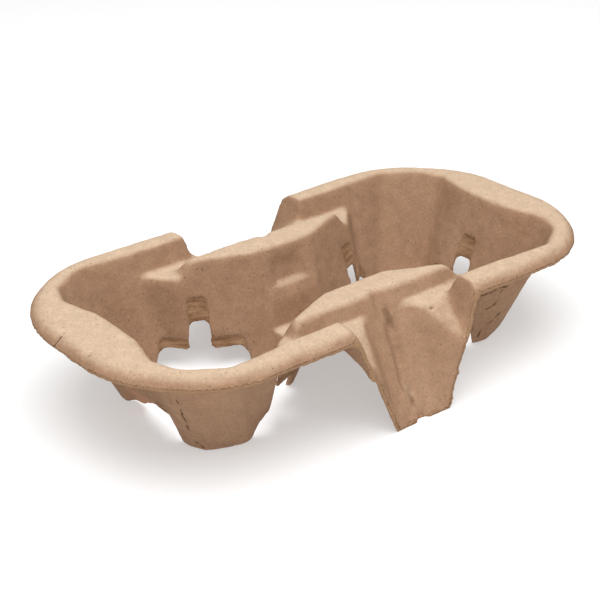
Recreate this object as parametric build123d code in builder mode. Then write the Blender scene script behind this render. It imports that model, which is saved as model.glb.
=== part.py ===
from build123d import *
from math import atan2, cos, hypot, radians, sin, tan
import os

# Moulded pulp carrier for two cups. Millimetres, X along the length, Y to the back, Z up,
# origin on the table under the middle. The sheet is an upper form, which the cups meet,
# less the same form set in by the wall, trimmed below the rim and pierced by the openings.

# Overall sizes
length = 214.0
width = 112.4
height = 43.0
wall = 2.2

# Rim: the crest rolls over outwards into a lip
corner_radius = 45.5
lip_radius = 6.0
lip_drop = 4.6
rim_bevel = 1.2              # inner edge of the rim
roll_steps = 3               # facets of the roll

# Pockets, as half outlines on the +X, +Y side: at the floor and at the rim
pocket_spread = 17.2         # how much further out the walls are at the rim than at the floor
pocket_inner_x = 19.0        # wall beside the bridge, at the floor
flank_offset = -0.5          # flank line at the floor, Y at X = 0
flank_slope = 0.413
kink_x = (40.0, 43.0)        # where the flank ends and the corner lobe begins
lobe_start = ((47.0, 25.0), (52.5, 46.0))
lobe_side = ((57.0, 30.0), (74.0, 46.5))
lobe_corner = ((69.0, 26.0), (87.0, 37.5))
lobe_end = ((72.0, 19.0), (90.5, 28.0))
end_flat = ((69.0, 10.0), (86.5, 13.0))
pocket_round = (4.0, 6.0)

# Piers between the pockets
crest_y = 32.8               # outer edge of the pier's top
foot_y = 59.6                # foot of the outer panel
saddle_height = height - 2.7
saddle_half = 35.0           # half length of the raised top
saddle_splay = 4.0           # how far the ends of the top spread on the way down
ledge_height = height - 8.5
ledge_half = 58.0
ledge_bevel = 1.2
saddle_bevel = 1.0
tab_inner_y = 45.3           # inner side of the rim tabs at the crest
tab_margin = 0.15            # how far inside the lobe's first corner that side meets the ledge
gap_top_half = 28.0          # half width between the rim tabs, at the crest
gap_foot_half = 12.8         # and where its sides would meet the floor
notch_fall = radians(33)     # slope of the gap's floor
trough_half = 25.5           # half width of the trough between the panel's free edges, at the crest
panel_half = (10.0, 8.5)     # flat back of the trough: at the floor and at the crest
trough_round = 5.0
tab_round = 4.0              # where the lip turns down into the edge of the trough
groove_width = 6.0
groove_depth = 1.4

# Noses of the piers and the low bridge between them
nose_y = 21.5
step_height = 0.63 * height
step_y = 15.5
step_drop = 4.5
step_depth = 3.5
bridge_height = 0.30 * height
bridge_y = 8.5

# T-shaped openings: a slot over a wide bar, each with a thin web left at its top
slot_x = 41.0
slot_width = 7.6
slot_top = 0.64 * height
slot_open = 0.42 * height
bar_inner = 16.0             # reach of the bar from the slot towards the bridge
bar_outer = 14.5             # and towards the corner
end_bar_half = 14.0
bar_spread = 3.0             # how much wider the bar is at the floor, on each side
bar_top = 0.285 * height
bar_open = 0.175 * height
tee_bevel = 1.4              # corners of the openings
web = 1.0                    # thickness left where a wall is only thinned
tee_reach = 20.0

reach = length               # a length that passes right through the part
near = 0.01                  # how close counts as being at the same place
trim = 1.5 * wall            # depth of the skin that is trimmed off below the lip
lobe_lean = (lobe_start[1][1] - lobe_start[0][1]) / height
tab_foot_y = lobe_start[0][1] + lobe_lean * ledge_height - tab_margin
panel_lean = atan2(foot_y - crest_y, saddle_height)
facet_slope = (trough_half - panel_half[1]) / (width / 2 - crest_y)


def rim(inset):
    """The block under the rim, whose upper edge rolls over in a few facets."""
    roll = lip_radius - inset
    turns = [radians(90) * step / roll_steps for step in range(roll_steps + 1)]
    levels = [(0, 0)] + [(height - lip_radius + roll * sin(turn), roll * (1 - cos(turn))) for turn in turns]
    with BuildPart() as block:
        for rise, narrowing in levels:
            side = inset + narrowing
            with BuildSketch(Plane.XY.offset(rise)):
                RectangleRounded(length - 2 * side, width - 2 * side, corner_radius - side)
        loft(ruled=True)
    return block.part


def pockets(grow):
    """Both cup pockets, widened by grow all round."""
    with BuildPart() as hollow:
        for level, rise in enumerate((0.0, height)):
            inner_x = pocket_inner_x - pocket_spread * level
            flank = flank_offset + pocket_spread * level
            half = [
                (inner_x, flank + flank_slope * inner_x),
                (kink_x[level], flank + flank_slope * kink_x[level]),
                lobe_start[level],
                lobe_side[level],
                lobe_corner[level],
                lobe_end[level],
                end_flat[level],
            ]
            with BuildSketch(Plane.XY.offset(rise)):
                with BuildLine():
                    Polyline(*half, *[(x, -y) for x, y in reversed(half)], close=True)
                make_face()
                fillet(vertices(), pocket_round[level])
                offset(amount=grow)
        loft(ruled=True)
        mirror(about=Plane.YZ)
    return hollow.part


def wedge(inset):
    """The piers as one prism along X, bounded by the two sloping outer panels."""
    shift = inset / cos(panel_lean)
    with BuildPart() as prism:
        with BuildSketch(Plane.YZ):
            with BuildLine():
                top, foot = crest_y - shift, foot_y - shift
                Polyline((-foot, 0), (foot, 0), (top, saddle_height), (-top, saddle_height), close=True)
            make_face()
        extrude(amount=reach, both=True)
    return prism.part


def trapezoid(foot_half, top_half, top):
    """A prism along Y, standing on the floor, with sloping sides."""
    with BuildPart() as prism:
        with BuildSketch(Plane.XZ):
            with BuildLine():
                Polyline((-foot_half, 0), (foot_half, 0), (top_half, top), (-top_half, top), close=True)
            make_face()
        extrude(amount=reach, both=True)
    return prism.part


def saddle(inset):
    """The raised tops of the piers, with spreading ends."""
    splay = saddle_splay / (saddle_height - ledge_height)
    top = saddle_half - inset
    return wedge(inset) & trapezoid(top + splay * saddle_height, top + splay * inset, saddle_height - inset)


def gaps(grow):
    """The troughs between the rim tabs: a sloping panel at the back and a slanted facet on each side."""
    with BuildPart() as trough:
        for level, rise in enumerate((0.0, height)):
            back = foot_y - (foot_y - crest_y) * rise / saddle_height
            half = panel_half[level]
            front = half + facet_slope * (reach - back)
            with BuildSketch(Plane.XY.offset(rise)):
                with BuildLine():
                    Polyline((-half, back), (half, back), (front, reach), (-front, reach), close=True)
                make_face()
                if grow:
                    offset(amount=grow / cos(panel_lean), kind=Kind.INTERSECTION)
                else:
                    fillet(vertices(), trough_round)
        loft(ruled=True)
        mirror(about=Plane.XZ)
    return trough.part


def grooves(grow):
    """The shallow groove down the middle of each panel."""
    radius = (groove_width**2 / 4 + groove_depth**2) / (2 * groove_depth)
    slope = hypot(foot_y - crest_y, saddle_height)
    with BuildPart() as channel:
        for side in (-1, 1):
            run = Vector(0, side * (foot_y - crest_y), -saddle_height)
            out = Vector(0, side * saddle_height, foot_y - crest_y).normalized()
            top = Vector(0, side * crest_y, saddle_height) + out * (radius - groove_depth)
            with BuildSketch(Plane(top - run, x_dir=(1, 0, 0), z_dir=run)):
                Circle(radius + grow)
            extrude(amount=3 * slope)
    return channel.part


def notches(grow):
    """The gaps through the rim between the tabs, over a floor that falls outwards from the ledges."""
    floor, inner = ledge_height - grow / cos(notch_fall), tab_foot_y
    low = floor - (width - inner) * tan(notch_fall)
    with BuildPart() as space:
        with BuildSketch(Plane.YZ):
            with BuildLine():
                side = [(width, height), (width, low), (inner, floor)]
                Polyline(*side, *[(-y, z) for y, z in reversed(side)], close=True)
            make_face()
        extrude(amount=reach, both=True)
    return space.part & trapezoid(gap_foot_half + grow, gap_top_half + grow, height)


def ledges(grow):
    """The space over the ledges and between the tabs, with the piers' tops left standing."""
    floor = ledge_height - grow
    with BuildPart() as space:
        for rise, side in ((floor, tab_foot_y), (height, tab_inner_y)):
            with BuildSketch(Plane.XY.offset(rise)):
                Rectangle(2 * (ledge_half + grow), 2 * (side + grow))
        loft(ruled=True)
    return space.part + notches(grow) - saddle(grow)


def centre(grow):
    """The space between the two noses, over the bridge."""
    with BuildPart() as space:
        with BuildSketch(Plane.YZ):
            with BuildLine():
                side = [
                    (nose_y + grow, height),
                    (nose_y + grow, saddle_height),
                    (step_y + grow, step_height - grow / 2),
                    (step_y - step_depth + grow, step_height - step_drop - grow / 2),
                    (bridge_y + grow, bridge_height - grow),
                ]
                Polyline(*side, *[(-y, z) for y, z in reversed(side)], close=True)
            make_face()
        extrude(amount=saddle_half / 2, both=True)
    return space.part


def pier_front(inset):
    """The foot of the piers in front of the rim block. It is open in front, so it isn't set in there."""
    with BuildPart() as block:
        with BuildSketch(Plane.YZ):
            with BuildLine():
                top, foot, rise = width / 2 + inset, foot_y + inset, height - lip_radius
                Polyline((-foot, 0), (foot, 0), (top, rise), (-top, rise), close=True)
            make_face()
        extrude(amount=gap_top_half + trim + inset, both=True)
    return block.part


def level(solid, rise):
    """The edges of a solid that lie at one height."""
    return solid.edges().filter_by_position(Axis.Z, rise - near, rise + near)


def form(inset):
    """The solid under one face of the sheet. The upper face has bevelled edges over the pockets and piers."""
    with BuildPart() as solid:
        add(rim(inset))
        add(pier_front(inset))
        for space in (gaps, grooves, ledges, pockets, centre):
            add(space(inset), mode=Mode.SUBTRACT)
        if not inset:
            brim = level(solid, height).filter_by(lambda edge: abs(edge.center().X) > lobe_start[1][0] - near)
            mouths = pockets(near).solids()
            chamfer(brim.filter_by(lambda edge: any(m.is_inside(edge @ 0.5) for m in mouths)), rim_bevel)
            chamfer(level(solid, saddle_height), saddle_bevel)
            past = saddle_half + saddle_splay - near
            brink = level(solid, ledge_height).filter_by(GeomType.BSPLINE)
            chamfer(brink.filter_by(lambda edge: abs(edge.center().X) > past), ledge_bevel)
    return solid.part


def skirt():
    """The outer skin below the lip, to be trimmed off beside the piers."""
    with BuildPart() as waste:
        Box(2 * reach, 2 * reach, height - lip_drop, align=(Align.CENTER, Align.CENTER, Align.MIN))
        with BuildSketch():
            RectangleRounded(length - 2 * trim, width - 2 * trim, corner_radius - trim)
        extrude(amount=height, mode=Mode.SUBTRACT)
        add(trapezoid(panel_half[0] + trim, gap_top_half + trim, height), mode=Mode.SUBTRACT)
        fillet(waste.edges().filter_by(Axis.Y).group_by(Axis.Z)[-1], tab_round)
    return waste.part


def tee(place, left, right, slot_rise, bar_rise):
    """One T-shaped cutter on an upright plane: a slot over a bar that spreads at the floor."""
    with BuildPart() as cutter:
        with BuildSketch(place):
            with Locations((0, slot_rise / 2)):
                Rectangle(slot_width, slot_rise)
            with BuildLine():
                feet = (-left - bar_spread, 0), (right + bar_spread, 0)
                Polyline(*feet, (right, bar_rise), (-left, bar_rise), close=True)
            make_face()
            chamfer(vertices().filter_by_position(Axis.Y, near, height), tee_bevel)
        extrude(amount=tee_reach)
    return cutter.part


def tees(slot_rise, bar_rise):
    """The T-shaped cutters of the flanks and the end walls."""
    y = flank_offset + flank_slope * slot_x - wall
    flank = Plane((slot_x, y, 0), x_dir=(-1, -flank_slope, 0), z_dir=(-flank_slope, 1, 0))
    end = Plane((end_flat[0][0] - wall, 0, 0), x_dir=(0, 1, 0), z_dir=(1, 0, 0))
    with BuildPart() as cutters:
        add(tee(flank, bar_outer, bar_inner, slot_rise, bar_rise))
        mirror(about=Plane.XZ)
        add(tee(end, end_bar_half, end_bar_half, slot_rise, bar_rise))
        mirror(about=Plane.YZ)
    return cutters.part


with BuildPart() as cup_carrier:
    add(form(0))
    add(form(wall), mode=Mode.SUBTRACT)
    add(skirt(), mode=Mode.SUBTRACT)
    add(tees(slot_open, bar_open), mode=Mode.SUBTRACT)
    add(tees(slot_top, bar_top) & pockets(wall - web), mode=Mode.SUBTRACT)

cup_carrier.part.label = "cup_carrier"
os.makedirs("parts", exist_ok=True)
export_step(cup_carrier.part, "parts/cup_carrier.step")
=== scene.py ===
# %% [markdown]
# # A moulded pulp carrier for two cups
# The real carrier is one sheet of paper pulp. Wet fibres are sucked onto a wire mould, dried and trimmed.
# So everything on it is soft: folds are round, faces are slightly wavy, and the trimmed edges are ragged.
# The CAD solid gives the exact form. This scene turns a copy of it into felted pulp.

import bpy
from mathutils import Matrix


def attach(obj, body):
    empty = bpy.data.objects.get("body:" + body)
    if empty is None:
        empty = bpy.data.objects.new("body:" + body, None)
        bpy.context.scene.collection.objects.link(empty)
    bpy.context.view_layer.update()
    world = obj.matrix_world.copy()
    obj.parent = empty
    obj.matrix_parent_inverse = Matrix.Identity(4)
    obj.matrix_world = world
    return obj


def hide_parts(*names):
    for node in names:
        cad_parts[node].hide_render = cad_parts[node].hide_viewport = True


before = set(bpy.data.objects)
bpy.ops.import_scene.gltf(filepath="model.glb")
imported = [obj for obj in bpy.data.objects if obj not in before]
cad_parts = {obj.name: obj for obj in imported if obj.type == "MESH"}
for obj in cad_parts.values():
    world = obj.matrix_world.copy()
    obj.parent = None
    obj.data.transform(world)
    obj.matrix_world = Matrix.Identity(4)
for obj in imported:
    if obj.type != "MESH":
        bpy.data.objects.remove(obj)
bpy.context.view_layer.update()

# %% [markdown]
# Sizes in this file are in millimetres, because that is how the real thing is measured.
# Blender works in metres, so one constant turns one into the other.
# A second helper turns a colour read as sRGB hex into the linear values that Blender's shaders use.

# %% Units and colour
from math import cos, radians, sin

import bmesh
import bpy
import numpy as np
from mathutils import Matrix, Vector, noise
from mathutils.bvhtree import BVHTree

MM = 0.001


def linear(hex_colour):
    """An sRGB hex colour as linear red, green, blue and alpha."""
    channels = [int(hex_colour[i:i + 2], 16) / 255 for i in (1, 3, 5)]
    return [c / 12.92 if c <= 0.04045 else ((c + 0.055) / 1.055) ** 2.4 for c in channels] + [1.0]


print("one millimetre is", MM, "m")

# %% [markdown]
# ## The sheet, copied from the solid
# A CAD node is loose triangles and is never changed, so the work starts on a merged copy.

# %% Copy and merge the solid
MERGE = 0.001
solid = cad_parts["cup_carrier"]
bm = bmesh.new()
bm.from_mesh(solid.data)
bmesh.ops.remove_doubles(bm, verts=bm.verts, dist=MERGE * MM)
print("copied solid:", len(bm.verts), "vertices")

# %% [markdown]
# ## The torn web in the left end wall
# At the left end the T-shaped opening isn't clean. A rag of thin pulp still fills its slot and half of its
# bar. It could be a piece of its own, but it is one with the wall, so it is drawn as one flat outline on the
# wall's slope, across and up in millimetres, and given a thickness. The remesh that follows joins it to the
# sheet.

# %% Torn web in the left end wall
END_FOOT, END_LEAN = 69.0, 17.5 / 43.0
RAG_INNER, RAG_OUTER = 0.3, 2.2
RAG = ((17.0, 0.3), (10.0, 1.6), (5.0, 4.6), (0.5, 7.0), (-4.6, 7.6),
       (-4.6, 19.0), (4.6, 19.0), (4.6, 12.4), (16.5, 12.4))
outline = [bm.verts.new(Vector((-(END_FOOT + RAG_INNER + END_LEAN * z), y, z)) * MM) for y, z in RAG]
rag = bmesh.ops.extrude_face_region(bm, geom=[bm.faces.new(outline)], use_keep_orig=True)
rag_front = [v for v in rag["geom"] if isinstance(v, bmesh.types.BMVert)]
bmesh.ops.translate(bm, verts=rag_front, vec=Vector((RAG_INNER - RAG_OUTER, 0, 0)) * MM)
rag_faces = {f for v in outline + rag_front for f in v.link_faces}
bmesh.ops.recalc_face_normals(bm, faces=list(rag_faces))
print("torn web:", len(rag_faces), "faces")

# %% [markdown]
# ## Even quads
# The copy has crisp folds and long thin triangles, which neither bend nor take a texture well.
# It could be bevelled edge by edge, but pulp has no edges to pick: the felt rounds everything alike.
# A voxel remesh gives even quads all over, and a few rounds of smoothing take its steps away.

# %% Remesh
VOXEL, STEP_ROUNDS, SMOOTHING = 0.80, 4, 0.5
sheet_mesh = bpy.data.meshes.new("pulp_sheet")
bm.to_mesh(sheet_mesh)
bm.free()
sheet = bpy.data.objects.new("pulp_sheet", sheet_mesh)
bpy.context.scene.collection.objects.link(sheet)


def apply_modifiers(piece):
    """Makes the result of a piece's modifiers its mesh."""
    shaped = bpy.data.meshes.new_from_object(piece.evaluated_get(bpy.context.evaluated_depsgraph_get()))
    piece.modifiers.clear()
    piece.data = shaped
    return shaped


remesh = sheet.modifiers.new("even quads", "REMESH")
remesh.mode = "VOXEL"
remesh.voxel_size = VOXEL * MM
settle = sheet.modifiers.new("steps away", "SMOOTH")
settle.factor, settle.iterations = SMOOTHING, STEP_ROUNDS
even = apply_modifiers(sheet)
print("even sheet:", len(even.vertices), "vertices,", len(even.polygons), "quads")

# %% [markdown]
# ## Folds, trimmed edges and thin webs
# The three behave differently. Folds are round, trimmed edges stay where the knife went and fray, webs are
# thin and dark. A ray sent into the sheet from each vertex tells them apart: it comes out after the wall's
# thickness on a face, after a millimetre on a web, and only after a long way on a trimmed edge.
# A thick corner can look like an edge too, but it is a small patch, while a trimmed edge runs on and on.

# %% Measure the thickness under each vertex
EDGE_FROM, WEB_UNDER, FAR, EDGE_RUN = 3.6, 1.5, 99.0, 150
SKIN = 0.02


def search_tree(mesh):
    """A tree over a mesh's faces that finds where a ray hits and which point is nearest."""
    return BVHTree.FromPolygons([v.co for v in mesh.vertices], [p.vertices for p in mesh.polygons])


inside = search_tree(even)
thickness = np.full(len(even.vertices), FAR)
for vertex in even.vertices:
    below = vertex.co - vertex.normal * SKIN * MM
    reached = inside.ray_cast(below, -vertex.normal)[3]
    if reached is not None:
        thickness[vertex.index] = reached / MM
ends = np.empty(2 * len(even.edges), dtype=np.int64)
even.edges.foreach_get("vertices", ends)
ends = ends.reshape(-1, 2)


def spread(mask, rings):
    """Grows a mask over the mesh by a number of rings of vertices."""
    for ring in range(rings):
        grown = mask.copy()
        np.maximum.at(grown, ends[:, 0], mask[ends[:, 1]])
        np.maximum.at(grown, ends[:, 1], mask[ends[:, 0]])
        mask = grown
    return mask


def long_runs(mask, least):
    """Keeps only those connected patches of a mask that have enough vertices."""
    beside, kept = {}, np.zeros(len(mask))
    for a, b in ends[mask[ends].all(axis=1)]:
        beside.setdefault(a, []).append(b)
        beside.setdefault(b, []).append(a)
    while beside:
        patch, waiting = set(), [next(iter(beside))]
        while waiting:
            at = waiting.pop()
            patch.add(at)
            waiting += beside.pop(at, [])
        if len(patch) >= least:
            kept[list(patch)] = 1.0
    return kept


on_edge = long_runs(thickness > EDGE_FROM, EDGE_RUN)
on_web = (thickness < WEB_UNDER).astype(float)
edge_zone = (on_edge + spread(on_edge, 1) + spread(on_edge, 2)) / 3
web_zone = (on_web + spread(on_web, 1) + spread(on_web, 2)) / 3
print("trimmed edges:", int(on_edge.sum()), "vertices, webs:", int(on_web.sum()))

# %% [markdown]
# A second smoothing rounds the folds. The Smooth modifier takes a vertex group, so the edges and webs are
# kept out of it. In the photograph the piers are crisper than the pockets, so they get a smaller share.
# On the panels below the piers the facets run into each other without a line, so a second group takes many
# more rounds.

# %% Relax the folds
FOLD_ROUNDS, PANEL_ROUNDS = 15, 70
PIER_HALF, PIER_SHARE, PANEL_HALF, PANEL_START = 30.0, 0.4, 27.0, 37.0
free = [v for v in even.vertices if not edge_zone[v.index] and not web_zone[v.index]]
pier = [v.index for v in free if abs(v.co.x) < PIER_HALF * MM]
panel = [v.index for v in free if abs(v.co.x) < PANEL_HALF * MM and abs(v.co.y) > PANEL_START * MM]
folds = sheet.vertex_groups.new(name="folds")
folds.add([v.index for v in free], 1.0, "REPLACE")
folds.add(pier, PIER_SHARE, "REPLACE")
sheet.vertex_groups.new(name="panels").add(panel, 1.0, "REPLACE")
for group, rounds in (("folds", FOLD_ROUNDS), ("panels", PANEL_ROUNDS)):
    relax = sheet.modifiers.new("relaxed " + group, "SMOOTH")
    relax.factor, relax.iterations, relax.vertex_group = SMOOTHING, rounds, group
even = apply_modifiers(sheet)
sheet.vertex_groups.clear()
print("relaxed:", len(free), "of", len(even.vertices), "vertices,", len(panel), "of them on the panels")

# %% [markdown]
# ## Waviness, felt and frayed edges
# A dried sheet never stays true. Broad waves of about half a millimetre show along the rim and walls,
# and the mould's wire and the loose fibres leave a fine grain. Trimmed edges fray by a third of a millimetre.
# Moving each vertex by a little noise gives all of it, and as it is real geometry, it holds from every side.
# Near the table the movement fades, so the carrier still stands flat. Blender's vector noise starts from the
# clock, so it is given a seed, and every run makes the same sheet.

# %% Push the sheet about with noise
WAVE, WAVE_SIZE = 0.45, 22.0
LUMP, LUMP_SIZE = 0.16, 4.5
GRAIN, GRAIN_SIZE = 0.07, 1.6
FRAY, FRAY_SIZE = 0.35, 2.2
FOOT, SEED = 12.0, 3
noise.seed_set(SEED)
normals = [v.normal.copy() for v in even.vertices]
for vertex, normal in zip(even.vertices, normals):
    here = vertex.co / MM
    lifted = min(1.0, here.z / FOOT)
    push = LUMP * noise.noise(here / LUMP_SIZE) + GRAIN * noise.noise(here / GRAIN_SIZE)
    push += FRAY * lifted * on_edge[vertex.index] * noise.noise(here / FRAY_SIZE)
    wave = noise.noise_vector(here / WAVE_SIZE) * WAVE
    wave.z *= lifted
    vertex.co += (normal * push + wave) * MM
for polygon in even.polygons:
    polygon.use_smooth = True
low = min(v.co.z for v in even.vertices)
print("lowest point of the sheet:", round(low / MM, 2), "mm")

# %% [markdown]
# ## The recess in the rear nose
# The photograph shows a shallow recess in the slope of the rear pier, with a narrow step at its foot that
# catches the light. It is less than two millimetres deep, so it is pressed into the mesh: every vertex of the
# nose inside a soft-edged window moves back, and as both faces of the sheet move alike, its thickness stays.

# %% Press the recess
RECESS_MIDDLE, RECESS_HALF, RECESS_DEPTH = 0.5, 7.0, 1.7
RECESS_FOOT, RECESS_HEAD = (25.6, 28.0), (30.0, 39.0)
NOSE_FRONT, NOSE_BACK, SOFT = 10.0, 27.0, 5.0


def ramp(values, start, end):
    """Rises smoothly from nought at the start to one at the end."""
    share = np.clip((values - start) / (end - start), 0.0, 1.0)
    return share * share * (3 - 2 * share)


def places(mesh):
    """Where a mesh's vertices are, in millimetres, one row each."""
    return np.array([v.co for v in mesh.vertices]) / MM


def move(mesh, rows):
    """Moves a mesh's vertices to new places in millimetres."""
    mesh.vertices.foreach_set("co", (rows * MM).ravel())
    mesh.update()


points = places(even)
x, y, z = points.T
window = ramp(RECESS_HALF + SOFT / 2 - abs(x - RECESS_MIDDLE), 0.0, SOFT)
window *= ramp(z, *RECESS_FOOT) * (1 - ramp(z, *RECESS_HEAD)) * ((y > NOSE_FRONT) & (y < NOSE_BACK))
points[:, 1] += RECESS_DEPTH * window
move(even, points)
print("recess:", int((window > 0).sum()), "vertices moved back")

# %% [markdown]
# ## Cracks, creases and spots
# The lip has split at the left end, creases run down the front petals, and a sharper line runs down the
# groove of the front panel. Each is a short line of points read off the photograph. The points are first laid
# onto the mesh, then the line is pressed in, running out at both ends. Each line has a reach and a depth in
# millimetres, then a darkness, then its points. The material draws the darkness finer than the mesh: it is
# painted shade in the split, the creases and the groove, and the spot's own dark colour on the panel spot.
# Last, nothing may hang below the table, so the lowest points are set level with it.

# %% Press the lines into the sheet
RUN_OUT = 0.25
# The darkness column paints shade along the split, creases and groove, and gives the panel spot its real dark
# colour.
LINES = {
    "lip split": (1.1, 0.5, 0.9, ((-106.6, 6.9, 38.4), (-105.6, 6.2, 40.7), (-104.3, 5.9, 42.2))),
    "lip nick": (0.8, 0.2, 0.5, ((-104.3, -11.7, 41.9), (-103.6, -12.0, 42.3))),
    "petal fold": (1.1, 0.45, 0.8, ((-83.5, -29.6, 25.8), (-80.2, -27.6, 18.0), (-76.7, -25.8, 9.9))),
    "petal heel": (1.2, 0.5, 0.8, ((-73.9, -25.4, 4.2), (-71.8, -26.9, 1.9))),
    "panel spot": (0.9, 0.3, 0.5, ((16.4, -44.3, 32.9), (17.5, -44.4, 32.8))),
    "wrinkle top": (1.4, 0.6, 0.8, ((48.8, -38.4, 25.1), (53.5, -40.3, 26.6), (59.5, -41.4, 27.0))),
    "wrinkle middle": (1.4, 0.6, 0.8, ((53.4, -36.5, 17.6), (56.0, -37.4, 18.1), (56.9, -40.4, 25.2))),
    "wrinkle low": (1.4, 0.6, 0.8, ((54.2, -31.9, 3.7), (55.3, -33.4, 7.4),
                                    (58.8, -35.5, 10.7), (60.0, -36.8, 14.1))),
    "panel groove": (3.6, 1.8, 0.4, ((1.9, -35.6, 33.6), (1.6, -39.0, 28.4), (0.4, -45.6, 19.3),
                                     (-1.0, -51.0, 13.0), (-1.2, -55.0, 6.5))),
}
surface = search_tree(even)
points = places(even)
facing = np.array([v.normal for v in even.vertices])
drawn_lines = []
for name, (reach, depth, darkness, route) in LINES.items():
    laid = [np.array(surface.find_nearest(Vector(p) * MM)[0]) / MM for p in route]
    gap = np.full(len(points), FAR)
    for start, end in zip(laid, laid[1:]):
        along = end - start
        share = np.clip((points - start) @ along / (along @ along), 0.0, 1.0)
        gap = np.minimum(gap, np.linalg.norm(points - start - share[:, None] * along, axis=1))
        drawn_lines.append((start, end, reach, darkness))
    length = sum(np.linalg.norm(end - start) for start, end in zip(laid, laid[1:]))
    from_end = np.minimum(*(np.linalg.norm(points - tip, axis=1) for tip in (laid[0], laid[-1])))
    press = depth * ramp(reach - gap, 0.0, reach) * ramp(from_end, 0.0, RUN_OUT * length)
    points -= facing * press[:, None]
    print(name, "pressed into", int((gap < reach).sum()), "vertices")
points[:, 2] = np.maximum(points[:, 2], 0.0)
move(even, points)

# %% [markdown]
# ## Attributes, and a lighter mesh
# The material needs to know where the edges and webs are, so both are written on the mesh as attributes.
# So are the torn rag at the left end, where a paler, pinker patch of light is painted, and how far each part
# of the sheet faces up, which paints light on the tops. The fine quads have then done their work, and a
# Decimate modifier takes a third of them away where the sheet is flattest, to keep the file light. It carries
# the attributes along.
# Then the sheet takes the CAD solid's place in the picture and rides on the same body.

# %% Attributes, and the hand-over to the frame
RAG_LEFT, RAG_RIGHT, RAG_TOP = 16.0, -3.0, 11.0
KEPT_SHARE = 0.65
x, y, z = points.T
# Painted light: where the rag at the left end gets a paler, pinker patch of light.
rag_light_patch = ramp(RAG_LEFT - y, 0.0, SOFT) * ramp(y - RAG_RIGHT, 0.0, SOFT) * ramp(RAG_TOP - z, 0.0, SOFT)
rag_light_patch *= x < -END_FOOT - END_LEAN * z
upward = np.array([v.normal.z for v in even.vertices])
for name, values in (("trimmed_edge", edge_zone), ("thin_web", web_zone), ("rag_painted_light", rag_light_patch),
                     ("faces_up", upward)):
    layer = even.attributes.new(name, "FLOAT", "POINT")
    layer.data.foreach_set("value", values)
thin = sheet.modifiers.new("lighter mesh", "DECIMATE")
thin.ratio = KEPT_SHARE
lighter = apply_modifiers(sheet)
lighter.calc_loop_triangles()
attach(sheet, "root")
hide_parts("cup_carrier")
print("pulp_sheet stands for cup_carrier, with", len(lighter.loop_triangles), "triangles")

# %% [markdown]
# ## Unbleached moulded pulp
# Paper fibre, formed on wire and dried: matt, greyish tan, with darker flecks and paler loose fibres.
# Dry felt has no gloss, so roughness is close to one and the specular is low.
# One helper adds a node, sets its values and links its inputs, and everything else is data.

# %% Pulp material
def add(tree, kind, values=None, links=None, **settings):
    """Adds one node with its settings, socket values and incoming links."""
    node = tree.nodes.new(kind)
    for name, value in settings.items():
        setattr(node, name, value)
    for socket, value in (values or {}).items():
        node.inputs[socket].default_value = value
    for socket, source in (links or {}).items():
        tree.links.new(source, node.inputs[socket])
    return node


pulp = bpy.data.materials.new("unbleached moulded pulp")
pulp.use_nodes = True
tree = pulp.node_tree
shader = tree.nodes["Principled BSDF"]
shader.inputs["Roughness"].default_value = 0.95
shader.inputs["Specular IOR Level"].default_value = 0.12
place = add(tree, "ShaderNodeTexCoord").outputs["Object"]
print("pulp material started")

# %% [markdown]
# The colour is built up in layers: broad blotches, as fibre never settles evenly, then the felt's own mottle.
# Faces that look up catch more of the overhead light and are a little paler, so the attribute mixes in a
# paler tan there as painted light.
# Every scale comes from a size in millimetres. Single fibres are far too fine to show in the render, so the
# felt is drawn as coarse as it needs to show, at just under a millimetre.

# %% Colour of the felt
PER_M = 1000.0
BLOTCH_MM, CLOUD_MM, FELT_MM = 16.0, 4.0, 0.9
blotch = add(tree, "ShaderNodeTexNoise", {"Scale": PER_M / BLOTCH_MM, "Detail": 3.0}, {"Vector": place})
cloud = add(tree, "ShaderNodeTexNoise", {"Scale": PER_M / CLOUD_MM, "Detail": 3.0}, {"Vector": place})
felt = add(tree, "ShaderNodeTexNoise", {"Scale": PER_M / FELT_MM, "Detail": 4.0, "Roughness": 0.65},
           {"Vector": place})
faces_up = add(tree, "ShaderNodeAttribute", attribute_name="faces_up")
# Painted light: the more a face looks up, the more it is mixed towards a paler tan.
top_light_share = add(tree, "ShaderNodeMapRange", {"From Min": 0.62, "From Max": 1.0},
              {"Value": faces_up.outputs["Fac"]})
walls = add(tree, "ShaderNodeMixRGB", {"Color1": linear("#97755B"), "Color2": linear("#A3836A")},
            {"Fac": blotch.outputs["Fac"]})
tops_painted_light = add(tree, "ShaderNodeMixRGB", {"Color2": linear("#C1A88F")},
           {"Fac": top_light_share.outputs["Result"], "Color1": walls.outputs["Color"]})
clouded = add(tree, "ShaderNodeMapRange", {"From Min": 0.3, "From Max": 0.7, "To Min": 0.93, "To Max": 1.06},
              {"Value": cloud.outputs["Fac"]})
mottle = add(tree, "ShaderNodeMapRange", {"From Min": 0.3, "From Max": 0.7, "To Min": 0.84, "To Max": 1.10},
             {"Value": felt.outputs["Fac"]})
shade = add(tree, "ShaderNodeMath", links={0: clouded.outputs["Result"], 1: mottle.outputs["Result"]},
            operation="MULTIPLY")
felted = add(tree, "ShaderNodeMixRGB", {"Fac": 1.0},
             {"Color1": tops_painted_light.outputs["Color"], "Color2": shade.outputs["Value"]}, blend_type="MULTIPLY")
print("felt colour:", len(tree.nodes), "nodes so far")
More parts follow.
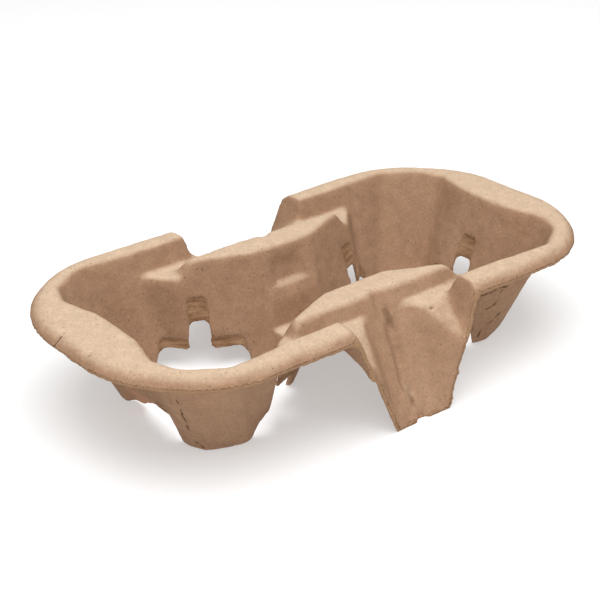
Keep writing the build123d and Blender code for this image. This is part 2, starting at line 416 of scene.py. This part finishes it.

# %% [markdown]
# Webs are the thin skin left in the T-shaped recesses. In the photograph they are darker, with pale fibres
# drawn across them. Stretched noise gives the fibres: fine up and down, long sideways.
# Trimmed edges show the inside of the felt, and both have a broken dark rim where they meet the sheet, partly
# crumbled fibre and partly painted shade in the gap under the lip's trimmed edge and at the step into each
# recess.

# %% Webs and trimmed edges
FIBRE_MM, FIBRE_LONG = 0.9, 6.0
web = add(tree, "ShaderNodeAttribute", attribute_name="thin_web")
cut = add(tree, "ShaderNodeAttribute", attribute_name="trimmed_edge")
stretch = add(tree, "ShaderNodeMapping", {"Scale": (1 / FIBRE_LONG, 1 / FIBRE_LONG, 1.0)}, {"Vector": place})
fibre = add(tree, "ShaderNodeTexNoise", {"Scale": PER_M / FIBRE_MM, "Detail": 2.0},
            {"Vector": stretch.outputs["Vector"]})
strands = add(tree, "ShaderNodeMapRange", {"From Min": 0.35, "From Max": 0.7},
              {"Value": fibre.outputs["Fac"]})
web_face = add(tree, "ShaderNodeMixRGB", {"Color1": linear("#7E5D43"), "Color2": linear("#A38264")},
               {"Fac": strands.outputs["Result"]})
cut_face = add(tree, "ShaderNodeMixRGB", {"Color1": linear("#7F5F45"), "Color2": linear("#AE8D6C")},
               {"Fac": felt.outputs["Fac"]})
broken = add(tree, "ShaderNodeMapRange", {"From Min": 0.40, "From Max": 0.60, "To Max": 0.75},
             {"Value": felt.outputs["Fac"]})
# Painted light on the rag: it is mixed towards a paler, pinker tan.
rag_light_mix = add(tree, "ShaderNodeAttribute", attribute_name="rag_painted_light")
zoned = add(tree, "ShaderNodeMixRGB", {"Color2": linear("#B4876C")},
            {"Fac": rag_light_mix.outputs["Fac"], "Color1": felted.outputs["Color"]})
for zone, face in ((web, web_face), (cut, cut_face)):
    filled = add(tree, "ShaderNodeMapRange", {"From Min": 0.55, "From Max": 0.75},
                 {"Value": zone.outputs["Fac"]})
    # The dark rim is partly crumbled fibre and partly painted shade, under the lip's trimmed edge and at the
    # step into each recess.
    rim = add(tree, "ShaderNodeMath", {1: 0.42, 2: 0.12}, {0: zone.outputs["Fac"]}, operation="COMPARE")
    rim_crumble_and_shade = add(tree, "ShaderNodeMath", links={0: rim.outputs["Value"], 1: broken.outputs["Result"]},
                   operation="MULTIPLY")
    zoned = add(tree, "ShaderNodeMixRGB", links={"Fac": filled.outputs["Result"],
                                                 "Color1": zoned.outputs["Color"],
                                                 "Color2": face.outputs["Color"]})
    zoned = add(tree, "ShaderNodeMixRGB", {"Color2": linear("#5E4128")},
                {"Fac": rim_crumble_and_shade.outputs["Value"], "Color1": zoned.outputs["Color"]})
print("webs and edges:", len(tree.nodes), "nodes so far")

# %% [markdown]
# Flecks are scattered over the whole sheet. Each cell of a Voronoi pattern holds one or none. The first two
# patterns are fine, dark and pale, and the third gives the few large dark ones.
# Each has its cell in millimetres, how rare a fleck is, its largest radius in cells, its strength and colour.

# %% Flecks
FLECKS = ((1.6, 0.55, 0.22, 0.5, "#5A3F29"),
          (1.9, 0.60, 0.18, 0.2, "#DCC4A6"),
          (8.0, 0.72, 0.07, 0.7, "#4A3220"))
flecked = zoned
for cell_mm, rarity, radius, strength, tint in FLECKS:
    cells = add(tree, "ShaderNodeTexVoronoi", {"Scale": PER_M / cell_mm}, {"Vector": place})
    chance = add(tree, "ShaderNodeSeparateColor", links={"Color": cells.outputs["Color"]})
    limit = add(tree, "ShaderNodeMapRange",
                {"From Min": rarity, "From Max": 1.0, "To Min": 0.0, "To Max": radius},
                {"Value": chance.outputs["Red"]})
    fleck = add(tree, "ShaderNodeMath", links={0: cells.outputs["Distance"], 1: limit.outputs["Result"]},
                operation="LESS_THAN")
    faded = add(tree, "ShaderNodeMath", {1: strength}, {0: fleck.outputs["Value"]}, operation="MULTIPLY")
    flecked = add(tree, "ShaderNodeMixRGB", {"Color2": linear(tint)},
                  {"Fac": faded.outputs["Value"], "Color1": flecked.outputs["Color"]})
print("flecks:", len(tree.nodes), "nodes so far")

# %% [markdown]
# The pressed lines are drawn dark in the material too: painted shade in the split, the creases and the
# groove, and the panel spot's own dark colour. For each piece of a line, a few vector nodes give the distance
# to it, and noise makes the line wander and break as a tear does. The dark core is a share of the line's
# reach.

# %% Cracks, the panel spot and painted shade in the material
LINE_SHARE, WANDER = 0.26, 2.2
shaken = add(tree, "ShaderNodeVectorMath", {1: (0.5, 0.5, 0.5)}, {0: cloud.outputs["Color"]},
             operation="SUBTRACT")
shift = add(tree, "ShaderNodeVectorMath", {"Scale": WANDER * MM}, {0: shaken.outputs["Vector"]},
            operation="SCALE")
wander = add(tree, "ShaderNodeVectorMath", links={0: place, 1: shift.outputs["Vector"]}, operation="ADD")
lines_and_painted_shade = flecked
for start, end, reach, darkness in drawn_lines:
    span = Vector(end - start) * MM
    core = LINE_SHARE * reach * MM
    away = add(tree, "ShaderNodeVectorMath", {1: Vector(start) * MM}, {0: wander.outputs["Vector"]},
               operation="SUBTRACT")
    progress = add(tree, "ShaderNodeVectorMath", {1: span / span.length_squared}, {0: away.outputs["Vector"]},
                   operation="DOT_PRODUCT")
    held = add(tree, "ShaderNodeClamp", links={"Value": progress.outputs["Value"]})
    nearest = add(tree, "ShaderNodeVectorMath", {0: span}, {"Scale": held.outputs["Result"]},
                  operation="SCALE")
    apart = add(tree, "ShaderNodeVectorMath", links={0: away.outputs["Vector"], 1: nearest.outputs["Vector"]},
                operation="DISTANCE")
    # Painted shade: the dark core along each split, crease and groove; on the panel spot it is the spot
    # itself.
    stroke = add(tree, "ShaderNodeMapRange",
                 {"From Min": core / 2, "From Max": 2 * core, "To Min": darkness, "To Max": 0.0},
                 {"Value": apart.outputs["Value"]})
    lines_and_painted_shade = add(tree, "ShaderNodeMixRGB", {"Color2": linear("#3E2817")},
                  {"Fac": stroke.outputs["Result"], "Color1": lines_and_painted_shade.outputs["Color"]})
tree.links.new(lines_and_painted_shade.outputs["Color"], shader.inputs["Base Color"])
print("cracks:", len(drawn_lines), "pieces,", len(tree.nodes), "nodes")

# %% [markdown]
# The felt's fine relief is too small for the mesh, so it stays a bump.

# %% Bump, and the material on the sheet
RELIEF_MM = 0.30
grain = add(tree, "ShaderNodeBump", {"Strength": 0.45, "Distance": RELIEF_MM * MM},
            {"Height": felt.outputs["Fac"]})
tree.links.new(grain.outputs["Normal"], shader.inputs["Normal"])
sheet.data.materials.clear()
sheet.data.materials.append(pulp)
print("pulp material:", len(tree.nodes), "nodes")

# %% [markdown]
# ## Studio
# The photograph is a catalogue shot on white paper. The floor is one wide plane, so that no edge of it shows.
# A little glow of its own keeps the paper white around the carrier, as in the photograph.

# %% Floor
FLOOR_HALF = 3.0
floor_bm = bmesh.new()
bmesh.ops.create_grid(floor_bm, x_segments=1, y_segments=1, size=FLOOR_HALF)
floor_mesh = bpy.data.meshes.new("paper_floor")
floor_bm.to_mesh(floor_mesh)
floor_bm.free()
floor = bpy.data.objects.new("paper_floor", floor_mesh)
bpy.context.scene.collection.objects.link(floor)
paper = bpy.data.materials.new("white backdrop paper")
paper.use_nodes = True
paper_shader = paper.node_tree.nodes["Principled BSDF"]
for socket, value in {"Base Color": linear("#C8C8C8"), "Emission Color": linear("#FFFFFF"),
                      "Emission Strength": 0.40, "Roughness": 1.0, "Specular IOR Level": 0.0}.items():
    paper_shader.inputs[socket].default_value = value
floor_mesh.materials.append(paper)
print("floor is", round(floor.dimensions.x, 1), "m wide")

# %% [markdown]
# One very large soft light hangs overhead, so the shadow is a soft pool under the carrier. A weaker one from
# the front left opens up the front panel, and a white room fills in the rest. Sizes and places are in metres.
# The Standard view transform keeps the paper's white and the pulp's tan as they are in the photograph.

# %% Lights
AIM = Vector((0, 0, 0.03))


def softbox(name, at, size, power):
    """A square area lamp that looks at the carrier."""
    lamp = bpy.data.lights.new(name, "AREA")
    lamp.size, lamp.energy = size, power
    holder = bpy.data.objects.new(name, lamp)
    holder.location = at
    holder.rotation_euler = (AIM - Vector(at)).to_track_quat("-Z", "Y").to_euler()
    bpy.context.scene.collection.objects.link(holder)


softbox("overhead", at=(-0.10, -0.15, 0.95), size=1.0, power=12.0)
softbox("front_left_fill", at=(-0.75, -0.95, 0.55), size=0.7, power=2.8)
world = bpy.data.worlds.new("white room")
world.use_nodes = True
room = world.node_tree.nodes["Background"]
room.inputs["Color"].default_value = linear("#FFFFFF")
room.inputs["Strength"].default_value = 0.42
bpy.context.scene.world = world
bpy.context.scene.view_settings.view_transform = "Standard"

# %% [markdown]
# ## Camera
# The camera was found by fitting the outline of the rim and the feet in the photograph.
# It looks from the front left, about 27 degrees down, with a long lens.

# %% Camera
AZIMUTH, ELEVATION, ROLL = radians(-38.689), radians(26.631), radians(0.523)
DISTANCE, ASIDE, BELOW = 539.44, 6.29, 21.73
FOCAL_PIXELS, FRAME_PIXELS, SENSOR = 1418.15, 600, 36.0
back = Vector((sin(AZIMUTH) * cos(ELEVATION), -cos(AZIMUTH) * cos(ELEVATION), sin(ELEVATION)))
level_right = Vector((0, 0, 1)).cross(back).normalized()
level_up = back.cross(level_right)
right = level_right * cos(ROLL) - level_up * sin(ROLL)
up = level_up * cos(ROLL) + level_right * sin(ROLL)
eye = back * DISTANCE - right * ASIDE + up * BELOW
camera_data = bpy.data.cameras.new("camera")
camera_data.sensor_width = SENSOR
camera_data.lens = SENSOR * FOCAL_PIXELS / FRAME_PIXELS
camera = bpy.data.objects.new("camera", camera_data)
camera.matrix_world = Matrix.Translation(eye * MM) @ Matrix((right, up, back)).transposed().to_4x4()
bpy.context.scene.collection.objects.link(camera)
bpy.context.scene.camera = camera
print("lens", round(camera_data.lens, 1), "mm, camera at", [round(c, 3) for c in camera.location])
